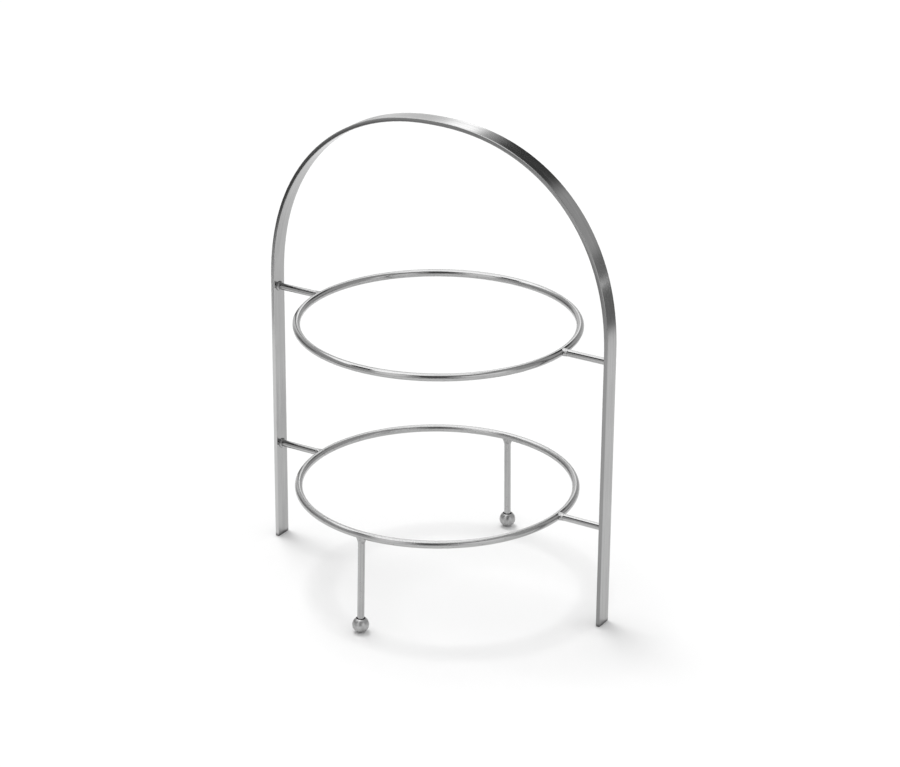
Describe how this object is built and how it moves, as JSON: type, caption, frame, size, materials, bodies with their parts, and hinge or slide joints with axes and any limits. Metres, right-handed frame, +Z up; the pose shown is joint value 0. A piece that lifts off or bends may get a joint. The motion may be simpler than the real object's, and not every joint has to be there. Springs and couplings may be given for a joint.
{
  "type": "tiered cake stand",
  "caption": "Wire frame for serving on two levels: a flat-bar arch that is also the handle carries two level hoops for plates, with rods and ball feet below.",
  "frame": {"origin": "on the table, midway between the two ends of the arch and below the centres of the hoops", "axes": "+X along the span of the arch towards its right leg, +Y across the bar towards the rear ball foot, +Z up"},
  "size_m": [0.278, 0.2156, 0.35],
  "materials": {
    "brushed_bar": "fine brushed grain along the bar",
    "satin_wire": "satin, drawn wire",
    "polished_rod": "polished",
    "satin_ball": "satin",
    "ground_weld": "weld metal, ground and polished"
  },
  "bodies": {
    "root": {"arch_strap": "brushed_bar", "upper_ring": "satin_wire", "lower_ring": "satin_wire", "upper_left_arm": "polished_rod", "upper_right_arm": "polished_rod", "lower_left_arm": "polished_rod", "lower_right_arm": "polished_rod", "front_leg": "satin_wire", "rear_leg": "satin_wire", "front_ball_foot": "satin_ball", "rear_ball_foot": "satin_ball", "upper_left_ring_weld": "ground_weld", "upper_right_ring_weld": "ground_weld", "lower_left_ring_weld": "ground_weld", "lower_right_ring_weld": "ground_weld", "upper_left_strap_weld": "ground_weld", "upper_right_strap_weld": "ground_weld", "lower_left_strap_weld": "ground_weld", "lower_right_strap_weld": "ground_weld", "front_leg_weld": "ground_weld", "rear_leg_weld": "ground_weld"}
  },
  "joints": []
}
